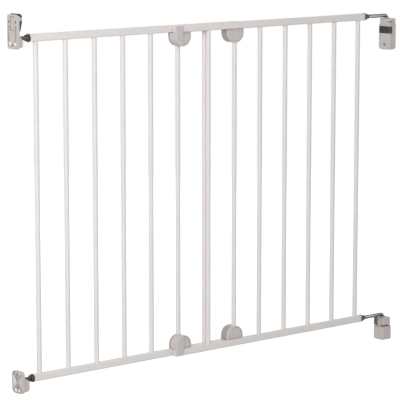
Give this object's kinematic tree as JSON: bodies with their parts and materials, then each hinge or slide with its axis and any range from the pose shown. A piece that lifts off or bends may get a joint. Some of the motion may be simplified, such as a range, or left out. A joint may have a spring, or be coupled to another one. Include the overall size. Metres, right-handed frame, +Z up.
{
  "type": "safety baby gate",
  "caption": "Wall-fixed extending metal baby gate: two welded bar frames telescope side by side, swing on hooked hinges and lift out of latch cups.",
  "frame": {"origin": "centre of the lower hinge bracket's wall face, on the hinge wall", "axes": "+X along the gate into the hinge wall, +Y to the back of the gate, +Z up"},
  "size_m": [1.02, 0.0485, 0.792],
  "materials": {
    "white_powder_coat": "semi-gloss powder coat on steel tube",
    "light_plug_plastic": "moulded satin",
    "clip_plastic": "moulded satin",
    "bracket_plastic": "moulded satin",
    "black_plastic": "moulded, fine texture",
    "dark_zinc_steel": "black zinc plate",
    "hook_steel": "zinc plate",
    "zinc_steel": "zinc plate",
    "bush_nylon": "natural nylon"
  },
  "bodies": {
    "wall_brackets": {"upper_latch_base": "bracket_plastic", "lever_pin": "zinc_steel", "lever_spring": "zinc_steel", "lower_latch_bracket": "bracket_plastic", "upper_hinge_housing": "bracket_plastic", "lower_hinge_bracket": "bracket_plastic", "lower_hinge_screw_caps": "bracket_plastic"},
    "thumb_lever": {"thumb_lever": "black_plastic"},
    "lock_slide": {"lock_slide": "black_plastic"},
    "hinge_bushes": {"upper_hinge_bush": "bush_nylon", "lower_hinge_bush": "bush_nylon"},
    "hinge_hooks": {"upper_hook": "hook_steel", "lower_hook": "hook_steel", "stop_pin": "dark_zinc_steel"},
    "hinge_frame": {"hinge_top_rail": "white_powder_coat", "hinge_top_plug": "light_plug_plastic", "hinge_bottom_rail": "white_powder_coat", "hinge_bottom_plug": "light_plug_plastic", "hinge_inner_caps": "light_plug_plastic", "hinge_bar_1": "white_powder_coat", "hinge_bar_2": "white_powder_coat", "hinge_bar_3": "white_powder_coat", "hinge_bar_4": "white_powder_coat", "hinge_bar_5": "white_powder_coat", "hinge_bar_6": "white_powder_coat", "hinge_bar_7": "white_powder_coat", "hinge_top_clip_tab_shell": "clip_plastic", "hinge_top_clip_shell": "clip_plastic", "hinge_bottom_clip_tab_shell": "clip_plastic", "hinge_bottom_clip_shell": "clip_plastic", "hinge_clip_screws": "zinc_steel"},
    "upper_hook_nut": {"upper_hook_nut": "dark_zinc_steel"},
    "lower_hook_nut": {"lower_hook_nut": "dark_zinc_steel"},
    "latch_frame": {"latch_top_rail": "white_powder_coat", "latch_top_plug": "light_plug_plastic", "latch_bottom_rail": "white_powder_coat", "latch_bottom_plug": "light_plug_plastic", "latch_inner_caps": "light_plug_plastic", "latch_bar_1": "white_powder_coat", "latch_bar_2": "white_powder_coat", "latch_bar_3": "white_powder_coat", "latch_bar_4": "white_powder_coat", "latch_bar_5": "white_powder_coat", "latch_bar_6": "white_powder_coat", "latch_bar_7": "white_powder_coat", "latch_top_clip_tab_shell": "clip_plastic", "latch_top_clip_shell": "clip_plastic", "latch_bottom_clip_tab_shell": "clip_plastic", "latch_bottom_clip_shell": "clip_plastic", "latch_clip_screws": "zinc_steel"},
    "upper_stud": {"upper_stud": "dark_zinc_steel"},
    "lower_stud": {"lower_stud": "dark_zinc_steel"},
    "upper_stud_nut": {"upper_stud_nut": "dark_zinc_steel"},
    "lower_stud_nut": {"lower_stud_nut": "dark_zinc_steel"}
  },
  "joints": [
    {"name": "gate_swing", "type": "hinge", "parent": "wall_brackets", "child": "hinge_bushes", "pos_m": [-0.012, 0, 0], "axis": [0, 0, 1], "range_deg": [-90, 90]},
    {"name": "gate_lift", "type": "slide", "parent": "hinge_bushes", "child": "hinge_hooks", "axis": [0, 0, 1], "range_m": [0, 0.01]},
    {"name": "hinge_adjust", "type": "slide", "parent": "hinge_hooks", "child": "hinge_frame", "axis": [1, 0, 0], "range_m": [0, 0.01]},
    {"name": "upper_hook_nut_turn", "type": "hinge", "parent": "hinge_frame", "child": "upper_hook_nut", "pos_m": [-0.08, 0, 0.717], "axis": [1, 0, 0], "range_deg": [-2, 2882]},
    {"name": "lower_hook_nut_turn", "type": "hinge", "parent": "hinge_frame", "child": "lower_hook_nut", "pos_m": [-0.08, 0, 0.032], "axis": [1, 0, 0], "range_deg": [-2, 2882]},
    {"name": "width_slide", "type": "slide", "parent": "hinge_frame", "child": "latch_frame", "axis": [1, 0, 0], "range_m": [0, 0.044]},
    {"name": "upper_stud_adjust", "type": "slide", "parent": "latch_frame", "child": "upper_stud", "axis": [1, 0, 0], "range_m": [-0.0015, 0.006]},
    {"name": "upper_stud_nut_turn", "type": "hinge", "parent": "latch_frame", "child": "upper_stud_nut", "pos_m": [-0.985, 0.0128, 0.717], "axis": [1, 0, 0], "range_deg": [-434, 1730]},
    {"name": "lower_stud_adjust", "type": "slide", "parent": "latch_frame", "child": "lower_stud", "axis": [1, 0, 0], "range_m": [-0.0015, 0.006]},
    {"name": "lower_stud_nut_turn", "type": "hinge", "parent": "latch_frame", "child": "lower_stud_nut", "pos_m": [-0.985, 0.0128, 0.032], "axis": [1, 0, 0], "range_deg": [-434, 1730]},
    {"name": "thumb_lever_press", "type": "hinge", "parent": "wall_brackets", "child": "thumb_lever", "pos_m": [-1.012, 0.0128, 0.756], "axis": [0, 1, 0], "range_deg": [0, 8.2], "stiffness_Nm_per_rad": 0.05},
    {"name": "lock_slide_pull", "type": "slide", "parent": "wall_brackets", "child": "lock_slide", "axis": [0, -1, 0], "range_m": [0, 0.008]}
  ],
  "couplings": [
    {"joint": "upper_hook_nut_turn", "follows": "hinge_adjust", "rad_per_m": 5026.6},
    {"joint": "lower_hook_nut_turn", "follows": "hinge_adjust", "rad_per_m": 5026.6},
    {"joint": "upper_stud_nut_turn", "follows": "upper_stud_adjust", "rad_per_m": 5026.6},
    {"joint": "lower_stud_nut_turn", "follows": "lower_stud_adjust", "rad_per_m": 5026.6},
    {"joint": "thumb_lever_press", "follows": "gate_lift", "rad_per_m": 14}
  ]
}
